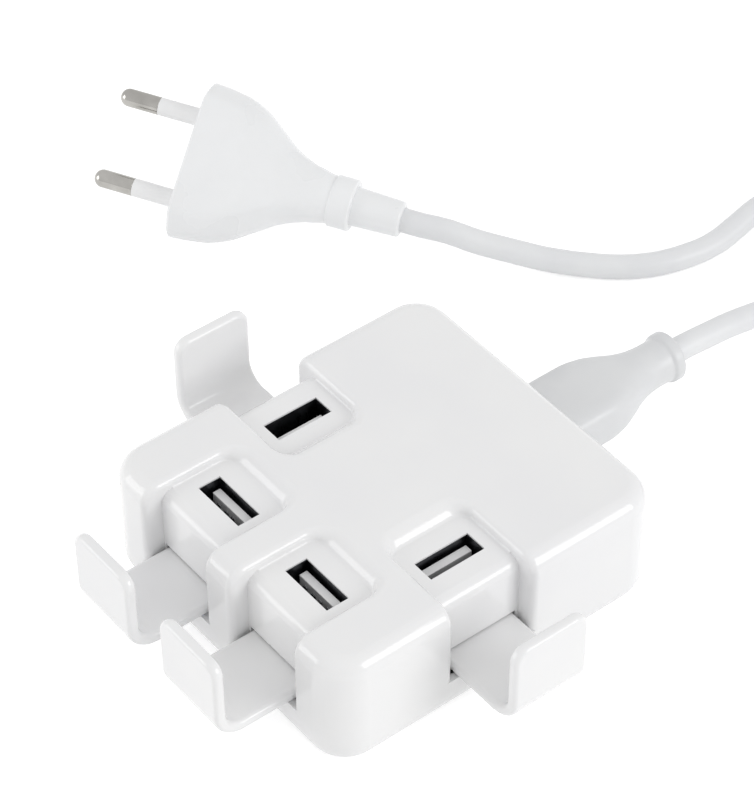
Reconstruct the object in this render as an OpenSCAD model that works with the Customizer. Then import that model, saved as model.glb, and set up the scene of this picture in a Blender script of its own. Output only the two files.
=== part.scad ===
/* [Housing] */
// Width of the housing, left side to right side
body_w = 73.1; // [70:0.1:84]
// Depth of the housing, front to the mains inlet
body_d = 78.5; // [76:0.1:90]
// Height of the housing without its rubber pad
body_h = 27.2; // [26:0.1:32]
// Thickness of the moulded walls
wall = 2; // [1.6:0.1:2.4]
// Radius of the four upright corners
corner_r = 7.8; // [7:0.1:10]
// Radius of the top edge
top_r = 4.1; // [3:0.1:5]
// Radius of the bottom edge
bottom_r = 4.2; // [3:0.1:5]
// Height of the seam between the housing and its base
seam_h = 2.2; // [2:0.1:3]
// How far the rubber pad stands below the base
pad_proud = 0.6; // [0.4:0.1:1]

/* [Recesses and notches] */
// Distance from a side of the housing to the centre of its sockets
port_inset = 13.2; // [12.8:0.1:14]
// Distance of each front socket from the middle plane
front_port_x = 13.65; // [13.4:0.05:14.5]
// Distance of the side sockets in front of the housing's middle
side_port_front = 2.4; // [1.6:0.1:3]
// Depth of the sunk floor round a socket
recess_depth = 2.4; // [2:0.1:2.8]
// Distance from the side of the housing to the far wall of the sunk floor
recess_reach = 21.3; // [20:0.1:22]
// Radius of the far corners of the sunk floor's wall, seen from above
recess_corner_r = 3.5; // [3:0.1:5]
// Thickness of the sunk floor
recess_floor_t = 1.4; // [1.2:0.1:1.8]
// Width of the notch that takes a folded holder
notch_w = 19; // [18.8:0.1:19.6]
// Depth of the notch in from the side
notch_depth = 4.2; // [3.8:0.1:4.6]
// Radius of the rounded edge along a notch and round the sunk floor
notch_edge_r = 1.5; // [1.2:0.1:1.6]
// Radius of the edge from the sunk floor down into the notch
floor_edge_r = 2.6; // [1.8:0.1:3]
// Thickness of the sill under a holder, at the side of the housing
sill_t = 1.6; // [1.2:0.1:2]

/* [Holders] */
// Width of a slide-out holder
arm_w = 17.4; // [16.8:0.1:18.2]
// Thickness of a holder
arm_t = 2.5; // [2.2:0.1:2.7]
// Height of a holder's underside above the bottom of the housing
arm_h = 8.6; // [8.4:0.1:9.2]
// Space between the back of the notch and the lip of a drawn-out holder
arm_reach = 18.2; // [16:0.1:19]
// Length of a holder's shank, from its inner end to the inside of its lip
shank_l = 23; // [21:0.1:23.2]
// Height of the top of the lip above the bottom of the housing
lip_h = 28.8; // [26:0.1:32]
// Inner radius of the bend between shank and lip
bend_r = 4; // [2:0.1:4.5]
// Radius of the upper corners of the lip
lip_corner_r = 3.2; // [2:0.1:5]
// Radius of the long edges of a holder
arm_edge_r = 1; // [0.4:0.1:1.05]
// How far the stop barbs stand out from the sides of the shank
barb = 0.6; // [0.5:0.05:0.7]
// Gap above and below a sliding shank
slide_gap = 0.4; // [0.3:0.05:0.5]
// Gap between a shank and the ends of its slot
side_gap = 0.25; // [0.2:0.05:0.4]
// Gap between the stop barbs of a drawn-out holder and the wall
stop_gap = 0.4; // [0.3:0.05:0.6]

/* [USB sockets] */
// Length of the opening over a socket
opening_l = 12.8; // [12.6:0.1:13]
// Width of the opening over a socket
opening_w = 5.1; // [5:0.1:5.4]
// Inside length of the metal shell
socket_l = 12.5; // [12.4:0.1:12.6]
// Inside width of the metal shell
socket_w = 5.12; // [5:0.01:5.2]
// Thickness of the shell's sheet metal
shell_t = 0.3; // [0.2:0.05:0.4]
// Length of the plastic tongue
tongue_l = 11.1; // [10.8:0.1:11.3]
// Thickness of the plastic tongue
tongue_t = 1.84; // [1.7:0.02:2]
// How far the tongue lies from the middle of the socket
tongue_shift = 1; // [0.8:0.05:1.1]
// How far the tongue ends below the sunk floor
tongue_drop = 2.2; // [2:0.1:3]
// Thickness of the rim that covers the edge of the shell
rim_t = 0.4; // [0.3:0.1:0.6]

/* [Circuit boards] */
// Thickness of the socket board
usb_board_t = 1.2; // [1:0.1:1.6]
// Thickness of the power board
power_board_t = 1.6; // [1:0.1:1.6]
// Thickness of the plate that the holders slide on
guide_t = 1.6; // [1.4:0.1:1.8]
// Diameter of the screws
screw_d = 2.9; // [2.5:0.1:3]
// Diameter of the screw heads
head_d = 5.6; // [5:0.1:5.8]
// Height of the screw heads
head_h = 1.8; // [1.5:0.1:2]

/* [Mains inlet] */
// Height of the inlet's middle above the bottom of the housing
inlet_h = 14.2; // [13:0.1:14.6]
// Distance between the two inlet pins
inlet_pitch = 8.6; // [8.2:0.1:9]
// Diameter of the inlet pins
inlet_pin_d = 2.4; // [2.2:0.1:2.5]
// Radius of each lobe of the connector's nose
lobe_r = 4; // [3.8:0.1:4.2]
// Length of the connector's nose
nose_l = 13; // [12:0.1:13.5]
// Gap between the nose and the inlet
nose_gap = 0.3; // [0.2:0.05:0.4]

/* [Mains lead] */
// Diameter of the lead
lead_d = 5.4; // [5:0.1:6]
// Length of the moulded grip on the appliance connector
grip_l = 34.7; // [32:0.1:38]
// Mean diameter of the coil
coil_d = 62.8; // [62:0.1:65]
// Width of the coil, from its innermost to its outermost turn
coil_w = 21.4; // [20.6:0.1:22]
// Thickness of the tie
tie_t = 0.8; // [0.6:0.1:1]
// Width of the tie
tie_w = 7; // [5:0.5:10]

/* [Mains plug] */
// Width of the plug across its face
plug_w = 35.2; // [33:0.1:36]
// Thickness of the plug
plug_t = 13.6; // [12:0.1:14]
// Length of the plug's body, face to collar
plug_l = 37.5; // [35:0.1:40]
// Diameter of the mains pins
pin_d = 4; // [3.8:0.1:4.2]
// Length of the mains pins
pin_l = 19; // [18:0.1:19.5]
// Length of the insulating sleeve on each pin
sleeve_l = 10; // [9:0.1:11]
// Distance between the pins at the plug's face
pin_pitch = 18.6; // [18:0.1:19]
// Diameter of the strain relief behind the plug
boot_d = 8.6; // [8:0.1:9]
// Length of the strain relief that shows behind the plug
boot_l = 10.8; // [9:0.1:14]
// How far the plug is rolled over on one edge
plug_roll = 37; // [30:1:40]

/* [Hidden] */

$fn = 48;
white = [0.95, 0.95, 0.95];
soft_white = [0.9, 0.9, 0.9];
steel = [0.72, 0.73, 0.75];
brass = [0.8, 0.66, 0.35];
board_green = [0.12, 0.38, 0.22];
black = [0.08, 0.08, 0.08];

// Steps in a quarter circle of the housing's edges, and of small edges
edge_steps = 8;
small_steps = 4;
// Overrun of a cut past the face that it opens
over = 1;
// Clearance between fixed pieces
fit_gap = 0.15;

z0 = pad_proud;
half_w = body_w / 2;
half_d = body_d / 2;
floor_z = body_h - recess_depth;
ledge_z = arm_h - slide_gap;
slot_top = arm_h + arm_t + slide_gap;
notch_in = notch_depth + wall;

// Radius at the foot of the sunk floor's wall
foot_r = (recess_depth - notch_edge_r) / 2;

// Place and turn of each socket: left, front left, front right, right
port_places = [
    [-half_w, -side_port_front, 90],
    [-front_port_x, -half_d, 180],
    [front_port_x, -half_d, 180],
    [half_w, -side_port_front, -90]
];

// Holder, along its own direction out of the housing
lip_in = arm_reach - notch_depth;
shank_in = lip_in - shank_l;
// A stowed holder stops where its bend has risen by this much at the notch
bend_rise = slide_gap - 0.15;
travel = arm_reach - bend_r + sqrt(pow(bend_r, 2) - pow(bend_r - bend_rise, 2));
spring_w = 3;
spring_l = 4.2;
spring_slit = 1.2;
bend_y = lip_in - bend_r;
bend_z = arm_h + arm_t + bend_r;
barb_l = -(notch_in + stop_gap) - shank_in;

// Inner parts, as heights above the bottom of the housing
usb_board_z = slot_top;
usb_top = usb_board_z + usb_board_t;
guide_z = ledge_z - guide_t;
socket_top = floor_z - recess_floor_t;
shell_top = floor_z - rim_t;
power_z = 3.6;
power_top = power_z + power_board_t;
rear_y = 9.5;
inner_x = half_w - notch_in - slide_gap;
inner_y = half_d - notch_in - slide_gap;
boss_d = 6.5;
boss_x = half_w - 8.2;
boss_y = half_d - 8.2;
boss_z = 4.6;
head_z = 2;
pad_w = 44;
pad_d = 50;
pad_r = 6;
pad_in = 0.6;
plate_screw_y = [-24, -1];
transformer_at = [-19.5, 20];
channel_x0 = front_port_x - arm_w / 2 - barb - slide_gap;
channel_x1 = front_port_x + arm_w / 2 + barb + slide_gap;
channel_y0 = -side_port_front - arm_w / 2 - barb - slide_gap;
channel_y1 = -side_port_front + arm_w / 2 + barb + slide_gap;
stowed_x = half_w + shank_in - travel;
stowed_y = half_d + shank_in - travel;

// Inlet
inlet_w = 2 * (inlet_pitch / 2 + lobe_r + 2);
inlet_t = 2 * (lobe_r + 1.8);
inlet_l = 15;
inlet_front = half_d - wall;
inlet_back = inlet_front - inlet_l;
inlet_floor = 2;
contact_d = 4;
contact_l = 9.5;
grip_gap = 0.2;

// Lead
grip_end = half_d + grip_gap + grip_l;
lead_r = lead_d / 2;
lead_sides = 10;
coil_z = tie_t;
coil_h = 2 * lead_d;
coil_half = coil_w / 2;
tie_slack = 0.6;
coil_at = [22, 163.7];

// Plug: place of its face's middle, and how it is turned and tipped
plug_at = [-108.9, 33.3, 16.4];
plug_yaw = 33.6;
plug_pitch = -5.3;
plug_axis = [
    cos(plug_yaw) * cos(plug_pitch), sin(plug_yaw) * cos(plug_pitch), sin(plug_pitch)
];
boot_end = plug_at + (plug_l + boot_l) * plug_axis;

// Route of the lead from the grip to the coil
near_route = [
    [0, grip_end, z0 + inlet_h], [0, grip_end + 4, z0 + inlet_h], [0.1, 84, 14.4], [0.2, 90, 13.9],
    [0.3, 95.4, 13], [0.5, 101, 11.9], [1.3, 106.6, 10.7], [3.6, 112.2, 9.1], [7.4, 117, 7.4],
    [12.4, 120.8, 5.8], [18, 123.4, 4.5], [24.4, 124.4, 3.6]
];
// Route of the lead from the coil to the plug
far_route = [
    [-13.5, 180.3, 8.9], [-17.7, 171, 8.6], [-22.3, 160.4, 7.9], [-26.5, 149.6, 6.8],
    [-29.4, 139, 5.6], [-30.5, 128.5, 4.5], [-29.9, 122, 3.6], [-29.3, 116, 2.9], [-29.5, 110, 2.7],
    [-31.8, 101, 2.7], [-36, 93.8, 2.7], [-41.5, 87.6, 3], [-47, 81.8, 3.9], [-52, 76.6, 5.6],
    [-57, 71, 7.8], [-61.4, 66.3, 10.3], boot_end + 4 * plug_axis, boot_end
];

collar_l = 2.4;
boot_in = 7;

// Points along an arc, from angle a0 to a1
function arc(x, y, r, a0, a1, n) =
    [for (i = [0:n]) let (a = a0 + (a1 - a0) * i / n) [x + r * cos(a), y + r * sin(a)]];

// Half section of a block from its corner axis out, with round lower and upper edges
function edge_profile(r, h, lower, upper, n) = concat(
    [[0, 0]],
    arc(r - lower, lower, lower, -90, 0, n),
    arc(r - upper, h - upper, upper, 0, 90, n),
    [[0, h]]
);

// Rounded rectangle about the origin
function rounded(w, h, r, n) = concat(
    arc(w / 2 - r, h / 2 - r, r, 0, 90, n),
    arc(-w / 2 + r, h / 2 - r, r, 90, 180, n),
    arc(-w / 2 + r, -h / 2 + r, r, 180, 270, n),
    arc(w / 2 - r, -h / 2 + r, r, 270, 360, n)
);

// Block whose sides and corners all follow one half section
module profiled_block(hx, hy, r, profile) {
    cx = hx - r;
    cy = hy - r;
    h = profile[len(profile) - 1][1];
    low = profile[0][1];
    translate([-cx, -cy, low]) cube([2 * cx, 2 * cy, h - low]);
    for (a = [0, 180])
        rotate(a) {
            translate([cx, cy, 0]) rotate_extrude(angle=90) polygon(profile);
            translate([-cx, cy, 0]) rotate(90) rotate_extrude(angle=90) polygon(profile);
            translate([cx, cy, 0]) rotate([90, 0, 0]) linear_extrude(2 * cy) polygon(profile);
            translate([-cx, cy, 0]) rotate([90, 0, 90]) linear_extrude(2 * cx) polygon(profile);
        }
}

// Flat bar that ends in a round-cornered, round-edged tip, along +Y
module tipped_bar(w, l, t, r, edge) {
    tip = edge_profile(r, t, edge, edge, small_steps);
    translate([0, l - r, t / 2]) rotate([90, 0, 0]) linear_extrude(l - r)
        polygon(rounded(w, t, edge, small_steps));
    translate([-w / 2 + r, l - r, 0]) rotate([90, 0, 90]) linear_extrude(w - 2 * r) polygon(tip);
    for (s = [0, 1])
        translate([(s * 2 - 1) * (w / 2 - r), l - r, 0])
            rotate(90 - s * 90) rotate_extrude(angle=90) polygon(tip);
}

module at_port(i) {
    p = port_places[i];
    translate([p[0], p[1], z0]) rotate(p[2]) children();
}

module at_corners() {
    for (sx = [-1, 1], sy = [-1, 1]) translate([sx * boss_x, sy * boss_y, 0]) children();
}

// Outside of housing and base together, before the notches
module outer_form() {
    profiled_block(half_w, half_d, corner_r,
        edge_profile(corner_r, body_h, bottom_r, top_r, edge_steps));
}

// Wall of the sunk floor, from its round foot up to its round upper edge
function recess_profile() = concat(
    [[0, floor_z]],
    arc(recess_corner_r - foot_r, floor_z + foot_r, foot_r, -90, 0, small_steps),
    arc(recess_corner_r + notch_edge_r, body_h - notch_edge_r, notch_edge_r, 180, 90, small_steps),
    [[recess_corner_r + notch_edge_r, body_h + over], [0, body_h + over]]
);

// Sunk floor, open to the side of the housing
module recess_cut() {
    profiled_block(notch_w / 2 + notch_edge_r, recess_reach + notch_edge_r,
        recess_corner_r + notch_edge_r, recess_profile());
}

// Section of a rounded edge that reaches r out, as [across the edge, outwards]
function cheek_section(r) = concat(
    [for (p = arc(r - notch_edge_r, notch_edge_r, notch_edge_r, -90, 0, small_steps)) [p[1], p[0]]],
    [[notch_edge_r, 0], [0, 0]]
);

// Material that stays beside a notch: one round edge up the side, over the top and inwards
module notch_cheek() {
    h = body_h - top_r;
    l = notch_depth + over;
    translate([0, -l, 0]) linear_extrude(h) polygon(cheek_section(l));
    translate([0, -top_r, h]) rotate([90, 0, 90]) rotate_extrude(angle=90)
        polygon([for (p = cheek_section(top_r)) [p[1], p[0]]]);
    translate([0, -top_r, h - over]) rotate([90, 0, 0]) linear_extrude(l - top_r)
        polygon(cheek_section(top_r + over));
}

// Notch with straight walls at first, whose side edges are rounded by the two cheeks
module notch_cut() {
    w = notch_w / 2;
    translate([-w, -notch_depth, ledge_z]) cube([notch_w, notch_depth + over, body_h]);
    for (s = [0, 1]) mirror([s, 0, 0]) translate([w, 0, 0]) difference() {
        translate([0, -top_r, ledge_z]) cube([notch_edge_r, top_r + over, body_h]);
        notch_cheek();
    }
    translate([-w, -notch_depth, floor_z]) rotate([90, 0, 90]) linear_extrude(notch_w)
        polygon(concat(
            [[over, -floor_edge_r], [over, over], [-floor_edge_r, over]],
            arc(-floor_edge_r, -floor_edge_r, floor_edge_r, 90, 0, small_steps)
        ));
    translate([-w, -notch_depth, ledge_z - wall - over])
        cube([notch_w, notch_depth - sill_t, wall + 2 * over]);
}

// Part of the inner space that the notch and the sunk floor take up
module port_backing() {
    w = notch_w / 2 + wall;
    translate([-w, -notch_in, ledge_z - wall]) cube([2 * w, notch_in + over, body_h]);
    w2 = notch_w / 2 + notch_edge_r;
    translate([-w2, -recess_reach - notch_edge_r, socket_top])
        cube([2 * w2, recess_reach + notch_edge_r + over, body_h]);
}

module figure_eight(grow) {
    for (s = [-1, 1]) translate([s * inlet_pitch / 2, 0]) circle(lobe_r + grow);
    square([inlet_pitch, 2 * (lobe_r - 0.6 + grow)], center=true);
}

// Extrusion along -Y from y, at the height of the inlet
module inlet_extrude(y, l) {
    translate([0, y, z0 + inlet_h]) rotate([90, 0, 0]) linear_extrude(l) children();
}

module housing() {
    color(white) difference() {
        union() {
            difference() {
                translate([0, 0, z0]) outer_form();
                for (i = [0:3]) at_port(i) {
                    recess_cut();
                    notch_cut();
                }
                difference() {
                    translate([0, 0, z0 - over]) linear_extrude(body_h - wall + over)
                        polygon(rounded(body_w - 2 * wall, body_d - 2 * wall, corner_r - wall,
                            edge_steps));
                    for (i = [0:3]) at_port(i) port_backing();
                }
            }
            at_corners() translate([0, 0, z0 + boss_z])
                cylinder(d=boss_d, h=body_h - wall / 2 - boss_z);
            for (y = plate_screw_y) translate([0, y, z0 + usb_top + fit_gap])
                cylinder(d=boss_d, h=body_h - wall / 2 - usb_top - fit_gap);
        }
        translate([-half_w, -half_d, 0]) cube([body_w, body_d, z0 + seam_h + fit_gap]);
        for (i = [0:3]) at_port(i) {
            translate([-arm_w / 2 - side_gap, -notch_in - over, ledge_z])
                cube([arm_w + 2 * side_gap, wall + 2 * over, slot_top - ledge_z]);
            translate([-opening_l / 2, -port_inset - opening_w / 2, socket_top - over])
                cube([opening_l, opening_w, recess_floor_t + 2 * over]);
            translate([-socket_l / 2 - shell_t - fit_gap, -port_inset - socket_w / 2 - shell_t - fit_gap,
                socket_top - over])
                cube([socket_l + 2 * (shell_t + fit_gap), socket_w + 2 * (shell_t + fit_gap),
                    recess_floor_t - rim_t + over]);
        }
        at_corners() translate([0, 0, z0 + boss_z - over]) cylinder(d=screw_d + 0.1, h=10 + over);
        for (y = plate_screw_y) translate([0, y, z0 + usb_top])
            cylinder(d=screw_d + 0.1, h=8);
        inlet_extrude(half_d + over, wall + 2 * over) figure_eight(nose_gap);
    }
}

module base_tray() {
    rim_w = body_w - 2 * wall - 2 * fit_gap;
    rim_d = body_d - 2 * wall - 2 * fit_gap;
    rim_r = corner_r - wall - fit_gap;
    color(white) difference() {
        union() {
            intersection() {
                translate([0, 0, z0]) outer_form();
                translate([-half_w, -half_d, 0]) cube([body_w, body_d, z0 + seam_h]);
            }
            translate([0, 0, z0 + seam_h]) linear_extrude(2) difference() {
                polygon(rounded(rim_w, rim_d, rim_r, edge_steps));
                polygon(rounded(rim_w - 2.4, rim_d - 2.4, rim_r - 1.2, edge_steps));
            }
            at_corners() translate([0, 0, z0 + 1]) cylinder(d=head_d + 2.4, h=boss_z - 1 - fit_gap / 3);
            for (sx = [-1, 1], sy = [-1, 1])
                translate([sx * 20, sy * boss_y, z0 + 1]) cylinder(d=5, h=power_z - 1);
        }
        at_corners() {
            translate([0, 0, z0 - over]) cylinder(d=head_d + 0.4, h=head_z + over);
            cylinder(d=screw_d + 0.4, h=body_h);
        }
        translate([0, 0, z0 - over]) linear_extrude(over + pad_in)
            polygon(rounded(pad_w + 0.4, pad_d + 0.4, pad_r + 0.2, edge_steps));
    }
}

module base_pad() {
    color([0.75, 0.75, 0.76]) linear_extrude(z0 + pad_in)
        polygon(rounded(pad_w, pad_d, pad_r, edge_steps));
}

module screw(l) {
    cylinder(d=screw_d, h=l);
    translate([0, 0, -head_h]) difference() {
        cylinder(d=head_d, h=head_h);
        for (a = [0, 90]) rotate(a) translate([-1.6, -0.3, -over]) cube([3.2, 0.6, over + 0.9]);
    }
}

module base_screws() {
    color(steel) at_corners() translate([0, 0, z0 + head_z]) screw(10);
}

module plate_screws() {
    color(steel) for (y = plate_screw_y) translate([0, y, z0 + guide_z]) screw(usb_top - guide_z + 6);
}

// Outline shared by the slide plate and the socket board
module inner_outline() {
    difference() {
        translate([-inner_x, -inner_y]) square([2 * inner_x, inner_y + rear_y]);
        for (s = [-1, 1]) translate([s * boss_x, -boss_y]) circle(d=boss_d + 1);
    }
}

module slide_plate() {
    color(soft_white) translate([0, 0, z0]) difference() {
        union() {
            translate([0, 0, guide_z]) linear_extrude(guide_t) inner_outline();
            translate([0, 0, ledge_z]) linear_extrude(usb_board_z - ledge_z) intersection() {
                inner_outline();
                union() {
                    translate([-channel_x0, -inner_y]) square([2 * channel_x0, inner_y + channel_y0]);
                    translate([-stowed_x + slide_gap, channel_y0])
                        square([2 * (stowed_x - slide_gap), channel_y1 - channel_y0]);
                    translate([-inner_x, channel_y1]) square([2 * inner_x, rear_y - channel_y1]);
                    for (s = [0, 1]) mirror([s, 0])
                        translate([channel_x1, -inner_y])
                            square([inner_x - channel_x1, inner_y + channel_y0]);
                }
            }
        }
        for (y = plate_screw_y) translate([0, y, 0]) cylinder(d=screw_d + 0.3, h=body_h);
    }
}

// One holder, drawn out, along its own direction
module holder() {
    section = rounded(arm_w, arm_t, arm_edge_r, small_steps);
    difference() {
        union() {
            translate([0, bend_y, arm_h + arm_t / 2]) rotate([90, 0, 0])
                linear_extrude(bend_y - shank_in) polygon(section);
            translate([0, bend_y, bend_z]) rotate([0, 90, 0]) rotate_extrude(angle=90)
                translate([bend_r + arm_t / 2, 0]) polygon([for (p = section) [p[1], p[0]]]);
            translate([0, lip_in + arm_t, bend_z]) rotate([90, 0, 0])
                tipped_bar(arm_w, lip_h - bend_z, arm_t, lip_corner_r, arm_edge_r);
            for (s = [0, 1]) mirror([s, 0, 0])
                translate([arm_w / 2 - 1, shank_in, arm_h]) linear_extrude(arm_t)
                    polygon([[0, 0], [1, 0], [1 + barb, barb], [1 + barb, barb_l], [0, barb_l]]);
        }
        for (s = [-1, 1])
            translate([s * (arm_w / 2 - spring_w) - spring_slit / 2, shank_in - over, arm_h - over])
                cube([spring_slit, spring_l + over, arm_t + 2 * over]);
    }
}

module holder_at(i) {
    color(white) at_port(i) holder();
}

module usb_board() {
    color(board_green) translate([0, 0, z0 + usb_board_z]) linear_extrude(usb_board_t) difference() {
        inner_outline();
        for (y = plate_screw_y) translate([0, y]) circle(d=screw_d + 0.3);
    }
}

// Metal shell of a socket, with two spring tabs on each long side
module socket_shell(i) {
    h = shell_top - usb_top;
    tab_z = h - 7.2;
    color(steel) at_port(i) translate([0, -port_inset, usb_top]) {
        difference() {
            translate([-socket_l / 2 - shell_t, -socket_w / 2 - shell_t, 0])
                cube([socket_l + 2 * shell_t, socket_w + 2 * shell_t, h]);
            translate([-socket_l / 2, -socket_w / 2, -over]) cube([socket_l, socket_w, h + 2 * over]);
            for (s = [-1, 1]) translate([s * 3 - 1.1, -socket_w, tab_z]) cube([2.2, 2 * socket_w, 4.6]);
        }
        for (s = [-1, 1], m = [0, 1]) mirror([0, m, 0])
            translate([s * 3 - 0.9, socket_w / 2 + shell_t, tab_z + 4.7]) rotate([-4, 0, 0])
                translate([0, -shell_t, -4.2]) cube([1.8, shell_t, 4.3]);
    }
}

module socket_tongue(i) {
    color(soft_white) at_port(i) translate([0, -port_inset, usb_top]) {
        translate([-socket_l / 2 + fit_gap, -socket_w / 2 + fit_gap, 0])
            cube([socket_l - 2 * fit_gap, socket_w - 2 * fit_gap, 2.4]);
        translate([-tongue_l / 2, -tongue_shift - tongue_t / 2, 0])
            cube([tongue_l, tongue_t, floor_z - tongue_drop - usb_top]);
    }
}

module socket_contacts() {
    h = floor_z - tongue_drop - usb_top - 2.4;
    color(brass) for (i = [0:3]) at_port(i)
        for (x = [-3.5, -1, 1, 3.5])
            translate([x - 0.5, -port_inset - tongue_shift + tongue_t / 2, usb_top + 2.4])
                cube([1, 0.2, h - 1.6]);
}

module power_board() {
    color(board_green) translate([0, 0, z0 + power_z]) linear_extrude(power_board_t) difference() {
        square([body_w - 2 * wall - 6, body_d - 2 * wall - 6], center=true);
        at_corners() square([head_d + 7, head_d + 7], center=true);
        for (y = plate_screw_y) translate([0, y]) circle(d=head_d + 0.8);
    }
}

module transformer_core() {
    color([0.2, 0.2, 0.21]) translate([transformer_at[0], transformer_at[1], z0 + power_top])
        difference() {
            translate([-9, -4, 1]) cube([18, 8, 13]);
            for (s = [-1, 1]) translate([s * 4.8 - 1.7, -5, 3.6]) cube([3.4, 10, 7.8]);
        }
}

module transformer_winding() {
    color([0.85, 0.72, 0.2]) translate([transformer_at[0], transformer_at[1], z0 + power_top])
        difference() {
            union() {
                translate([0, 0, 3.8]) linear_extrude(7.4)
                    polygon(rounded(12.6, 17, 3, small_steps));
                for (s = [-1, 1]) translate([-7, s * 6.2 - 1.6, 0]) cube([14, 3.2, 4]);
            }
            translate([-3.3, -4.2, 3]) cube([6.6, 8.4, 9]);
        }
}

module can(d, h) {
    rotate_extrude() polygon(concat([[0, 0], [d / 2 - 0.4, 0], [d / 2, 0.4], [d / 2, 1.4],
        [d / 2 - 0.3, 1.8], [d / 2, 2.2]], arc(d / 2 - 0.5, h - 0.5, 0.5, 0, 90, small_steps), [[0, h]]));
}

module mains_capacitor() {
    color([0.1, 0.1, 0.14]) translate([18, 29, z0 + power_top]) can(10, 15.5);
}

module output_capacitors() {
    color([0.12, 0.2, 0.4]) for (x = [13, 20, 27]) translate([x, 17, z0 + power_top]) can(6.3, 11);
}

module fuse() {
    color(soft_white) translate([-1, 14.5, z0 + power_top + 1.8]) rotate([0, 90, 0]) {
        cylinder(d=3.4, h=10);
        for (z = [0, 7.8]) translate([0, 0, z]) cylinder(d=3.6, h=2.2);
    }
}

module rectifier() {
    color(black) translate([-8, 11.8, z0 + power_top]) cube([5, 4.6, 2.4]);
}

// Four bridging wires from the power board over the edge of the socket board
module board_leads() {
    y = rear_y + 1.4;
    r = 1.6;
    wire = 1;
    top = usb_top + 0.8;
    color([0.7, 0.1, 0.1]) for (x = [-6, -2, 2, 6]) translate([x, y, z0]) {
        translate([0, 0, power_top]) cylinder(d=wire, h=top - power_top);
        translate([0, -r, top]) rotate([0, -90, 0]) rotate([0, 0, -90]) rotate_extrude(angle=180)
            translate([r, 0]) circle(d=wire);
        translate([0, -2 * r, usb_top]) cylinder(d=wire, h=top - usb_top);
    }
}

module inlet_socket() {
    color(black) difference() {
        translate([-inlet_w / 2, inlet_back, z0 + inlet_h - inlet_t / 2])
            cube([inlet_w, inlet_l, inlet_t]);
        inlet_extrude(inlet_front + over, inlet_l - inlet_floor + over) figure_eight(nose_gap);
        for (s = [-1, 1]) translate([s * inlet_pitch / 2, inlet_front, z0 + inlet_h])
            rotate([90, 0, 0]) cylinder(d=inlet_pin_d + 0.1, h=2 * inlet_l);
    }
}

module inlet_pins() {
    color(steel) for (s = [-1, 1]) translate([s * inlet_pitch / 2, inlet_back - 1.5, z0 + inlet_h])
        rotate([-90, 0, 0]) {
            cylinder(d=inlet_pin_d, h=inlet_l - 2.6);
            translate([0, 0, inlet_l - 2.6]) sphere(d=inlet_pin_d);
        }
}

// Bare wires from the inlet pins down to the power board
module mains_leads() {
    wire = 1.2;
    r = 2;
    y = inlet_back - 1.5;
    color([0.45, 0.25, 0.12]) for (s = [-1, 1]) translate([s * inlet_pitch / 2, y, z0 + inlet_h]) {
        translate([0, 0, -r]) rotate([0, -90, 0]) rotate([0, 0, 180]) mirror([1, 0, 0])
            rotate_extrude(angle=90) translate([r, 0]) circle(d=wire);
        translate([0, -r, -inlet_h + power_top]) cylinder(d=wire, h=inlet_h - r - power_top);
    }
}

module connector_core() {
    y = half_d;
    color(soft_white) difference() {
        inlet_extrude(y + grip_gap, nose_l + grip_gap) figure_eight(0);
        for (s = [-1, 1]) translate([s * inlet_pitch / 2, y - nose_l - over, z0 + inlet_h])
            rotate([-90, 0, 0]) cylinder(d=contact_d + 0.2, h=contact_l + 0.5 + over);
    }
}

module connector_sleeves() {
    color(brass) for (s = [-1, 1])
        translate([s * inlet_pitch / 2, half_d - nose_l + 0.5, z0 + inlet_h]) rotate([-90, 0, 0])
            difference() {
                cylinder(d=contact_d, h=contact_l);
                translate([0, 0, -over]) cylinder(d=inlet_pin_d + 0.1, h=contact_l + 2 * over);
            }
}

// Point on a rounded section: n = 2 is an ellipse, and more is squarer
function section_point(w, h, n, a) = [
    w * sign(cos(a)) * pow(abs(cos(a)), 2 / n),
    h * sign(sin(a)) * pow(abs(sin(a)), 2 / n)
];

// Solid along +Z through stations of [height, half width, half thickness, squareness]
module loft(stations, sides) {
    n = len(stations);
    points = [for (s = stations, i = [0:sides - 1])
        let (p = section_point(s[1], s[2], s[3], 360 * (i + 0.5) / sides)) [p[0], p[1], s[0]]];
    polyhedron(points, concat(
        [[for (i = [0:sides - 1]) i]],
        [for (k = [0:n - 2], i = [0:sides - 1]) let (j = (i + 1) % sides)
            [k * sides + i, (k + 1) * sides + i, (k + 1) * sides + j, k * sides + j]],
        [[for (i = [0:sides - 1]) (n - 1) * sides + sides - 1 - i]]
    ));
}

// Moulded grip: boxy at the housing, drawn in to a neck, with a collar at the lead
function grip_stations() = [
    [0, 8.4, 5, 4], [0.5, 8.7, 5.3, 4], [7, 8.8, 5.5, 4], [12, 8.8, 5.6, 3.8], [16, 8.2, 5.6, 3.4],
    [19.5, 7.2, 5.4, 2.8], [23, 5.8, 5.1, 2.3], [26.5, 5, 4.9, 2], [grip_l - 4.6, 4.8, 4.8, 2],
    [grip_l - 3, 5.3, 5.3, 2], [grip_l - 1, 5.4, 5.4, 2], [grip_l, 4.9, 4.9, 2]
];

module connector_grip() {
    color(white) translate([0, half_d + grip_gap, z0 + inlet_h]) rotate([-90, 0, 0])
        loft(grip_stations(), 32);
}

function unit(v) = v / norm(v);

// Direction of a route at point i
function heading(route, i) = unit(
    route[min(i + 1, len(route) - 1)] - route[max(i - 1, 0)]
);

// Ring of points round a route at point i
function ring(route, i) =
    let (d = heading(route, i), side = unit(cross(d, [0, 0, 1])), up = cross(side, d))
    [for (k = [0:lead_sides - 1]) let (a = 360 * k / lead_sides)
        route[i] + lead_r * (cos(a) * side + sin(a) * up)];

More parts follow.
